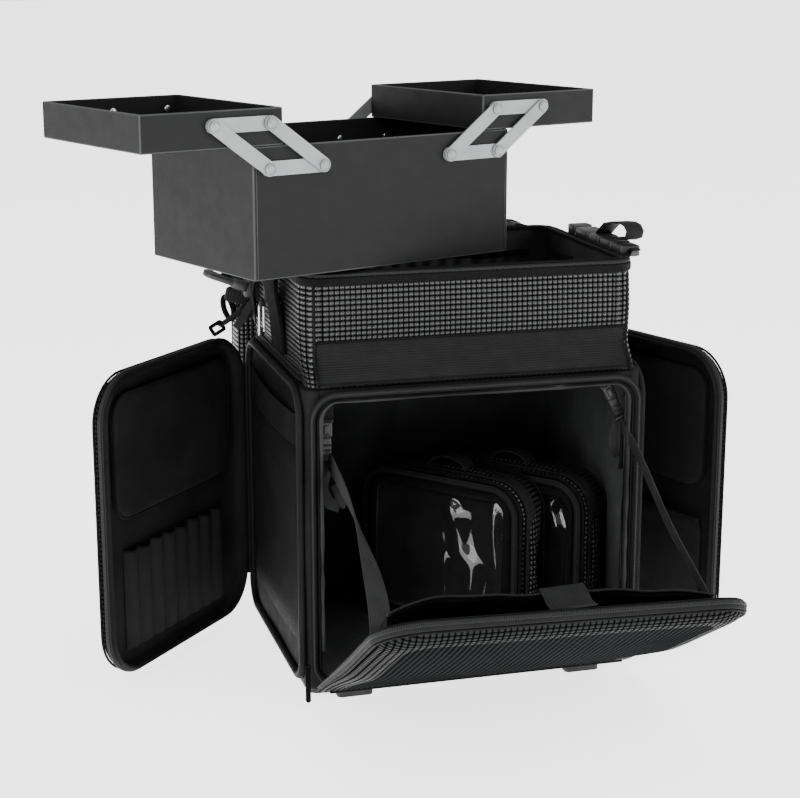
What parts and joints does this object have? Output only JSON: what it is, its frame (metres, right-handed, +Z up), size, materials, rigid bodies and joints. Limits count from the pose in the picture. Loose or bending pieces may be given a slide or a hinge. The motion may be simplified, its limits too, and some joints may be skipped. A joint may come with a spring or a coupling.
{
  "type": "soft trolley case",
  "caption": "Soft rolling make-up case, open: cantilever tray box on the rim, drop front on straps, side doors and pouches.",
  "frame": {"origin": "centre of the base board's underside, in the middle of the lower body", "axes": "+Z up, -Y the drop-front side, +X to the right seen from the front"},
  "size_m": [0.7028, 0.6582, 0.6121],
  "materials": {
    "embossed": "glossy black embossed sheet, small raised pillows",
    "nylon": "matt black woven nylon",
    "lining": "soft matt black lining",
    "zip": "satin black zip coil and tape",
    "webbing": "black ribbed webbing",
    "flap": "satin grey edging",
    "mesh": "black mesh",
    "black_plastic": "satin black moulding",
    "rubber": "matt black",
    "tyre": "matt black",
    "board": "grained black board",
    "tube": "satin anodised",
    "steel": "bright",
    "tray_board": "dark grey grained leathercloth on board",
    "bars": "satin silver grey",
    "vinyl": "clear glossy sheet"
  },
  "bodies": {
    "case": {"base_board": "board", "lower_shell": "nylon", "lower_lining": "lining", "front_frame": "nylon", "front_flap": "flap", "side_frames": "nylon", "body_zips": "zip", "mesh_pockets": "mesh", "elastic_bands": "webbing", "upper_shell": "embossed", "upper_lining": "lining", "web_band": "webbing", "rim_zip": "zip", "side_webbing": "webbing", "side_buckles": "black_plastic", "stay_straps": "webbing", "stay_buckles": "black_plastic", "feet": "rubber", "wheel_housings": "black_plastic", "wheel_axles": "steel", "handle_brackets": "black_plastic", "outer_tubes": "tube", "lid_tabs": "webbing"},
    "left_wheel": {"wheel_left": "tyre", "hub_left": "black_plastic"},
    "right_wheel": {"wheel_right": "tyre", "hub_right": "black_plastic"},
    "handle_mid": {"mid_tubes": "tube"},
    "handle_top": {"inner_rods": "tube", "grip": "black_plastic"},
    "handle_button": {"button": "black_plastic"},
    "drop_panel": {"drop_shell": "embossed", "drop_zip": "zip", "drop_pocket": "lining"},
    "left_door": {"door_left_shell": "nylon", "door_left_zip": "zip", "door_left_pockets": "lining"},
    "right_door": {"door_right_shell": "nylon", "door_right_zip": "zip", "door_right_pockets": "lining"},
    "lid": {"lid_shell": "embossed", "lid_zip": "zip", "lid_loop": "black_plastic"},
    "front_zip_pull": {"front_pull": "black_plastic"},
    "rim_zip_pull": {"rim_pull": "steel"},
    "tray_box": {"box_shell": "tray_board", "box_bars": "bars"},
    "left_bar_a": {"link_left_a": "bars"},
    "left_bar_b": {"link_left_b": "bars"},
    "left_tray": {"tray_left": "tray_board", "tray_left_bars": "bars"},
    "right_bar_a": {"link_right_a": "bars"},
    "right_bar_b": {"link_right_b": "bars"},
    "right_tray": {"tray_right": "tray_board", "tray_right_bars": "bars"},
    "first_pouch": {"pouch_1": "embossed", "pouch_1_window": "vinyl"},
    "second_pouch": {"pouch_2": "embossed", "pouch_2_window": "vinyl"}
  },
  "joints": [
    {"name": "left_wheel_spin", "type": "hinge", "parent": "case", "child": "left_wheel", "pos_m": [-0.143, 0.126, 0.014], "axis": [1, 0, 0], "continuous": true},
    {"name": "right_wheel_spin", "type": "hinge", "parent": "case", "child": "right_wheel", "pos_m": [0.143, 0.126, 0.014], "axis": [1, 0, 0], "continuous": true},
    {"name": "handle_mid_slide", "type": "slide", "parent": "case", "child": "handle_mid", "axis": [0, 0, 1], "range_m": [0, 0.28]},
    {"name": "handle_top_slide", "type": "slide", "parent": "handle_mid", "child": "handle_top", "axis": [0, 0, 1], "range_m": [0, 0.28]},
    {"name": "handle_button_press", "type": "slide", "parent": "handle_top", "child": "handle_button", "axis": [0, 0, -1], "range_m": [0, 0.0025], "stiffness_N_per_m": 300},
    {"name": "drop_panel_hinge", "type": "hinge", "parent": "case", "child": "drop_panel", "pos_m": [0, -0.1509, 0.0085], "axis": [1, 0, 0], "range_deg": [-57, 0], "deforming": ["stay_straps"]},
    {"name": "left_door_hinge", "type": "hinge", "parent": "case", "child": "left_door", "pos_m": [-0.187, 0.134, 0.164], "axis": [0, 0, -1], "range_deg": [-42, 66]},
    {"name": "right_door_hinge", "type": "hinge", "parent": "case", "child": "right_door", "pos_m": [0.187, 0.134, 0.164], "axis": [0, 0, 1], "range_deg": [-19, 89]},
    {"name": "lid_hinge", "type": "hinge", "parent": "case", "child": "lid", "pos_m": [0, 0.19, 0.431], "axis": [1, 0, 0], "range_deg": [0, 100]},
    {"name": "front_zip_pull_swing", "type": "hinge", "parent": "case", "child": "front_zip_pull", "pos_m": [-0.1805, -0.145, 0.033], "axis": [0, 1, 0], "range_deg": [0, 60]},
    {"name": "rim_zip_pull_swing", "type": "hinge", "parent": "case", "child": "rim_zip_pull", "pos_m": [-0.1824, 0.033, 0.424], "axis": [0, 1, 0], "range_deg": [0, 60]},
    {"name": "tray_box_lift", "type": "slide", "parent": "case", "child": "tray_box", "axis": [0, 0, 1], "range_m": [0, 0.2]},
    {"name": "left_bar_a_swing", "type": "hinge", "parent": "tray_box", "child": "left_bar_a", "pos_m": [-0.2515, -0.06974, 0.5433], "axis": [0.3584, -0.9336, 0], "range_deg": [-107.9, 0]},
    {"name": "left_bar_b_swing", "type": "hinge", "parent": "tray_box", "child": "left_bar_b", "pos_m": [-0.19362, -0.04752, 0.5433], "axis": [0.3584, -0.9336, 0], "range_deg": [-108, 0]},
    {"name": "left_tray_level", "type": "hinge", "parent": "left_bar_a", "child": "left_tray", "pos_m": [-0.30658, -0.09089, 0.5861], "axis": [0.3584, -0.9336, 0], "range_deg": [0, 108]},
    {"name": "right_bar_a_swing", "type": "hinge", "parent": "tray_box", "child": "right_bar_a", "pos_m": [0.00803, 0.02988, 0.5433], "axis": [-0.3584, 0.9336, 0], "range_deg": [-107.9, 0]},
    {"name": "right_bar_b_swing", "type": "hinge", "parent": "tray_box", "child": "right_bar_b", "pos_m": [-0.04985, 0.00766, 0.5433], "axis": [-0.3584, 0.9336, 0], "range_deg": [-108, 0]},
    {"name": "right_tray_level", "type": "hinge", "parent": "right_bar_a", "child": "right_tray", "pos_m": [0.06311, 0.05103, 0.5861], "axis": [-0.3584, 0.9336, 0], "range_deg": [0, 108]},
    {"name": "first_pouch_lift", "type": "slide", "parent": "case", "child": "first_pouch", "axis": [0, 0, 1], "range_m": [0, 0.095]},
    {"name": "second_pouch_lift", "type": "slide", "parent": "case", "child": "second_pouch", "axis": [0, 0, 1], "range_m": [0, 0.095]}
  ],
  "couplings": [
    {"joint": "left_bar_b_swing", "follows": "left_bar_a_swing", "ratio": 1},
    {"joint": "left_tray_level", "follows": "left_bar_a_swing", "ratio": -1},
    {"joint": "right_bar_b_swing", "follows": "right_bar_a_swing", "ratio": 1},
    {"joint": "right_tray_level", "follows": "right_bar_a_swing", "ratio": -1}
  ]
}
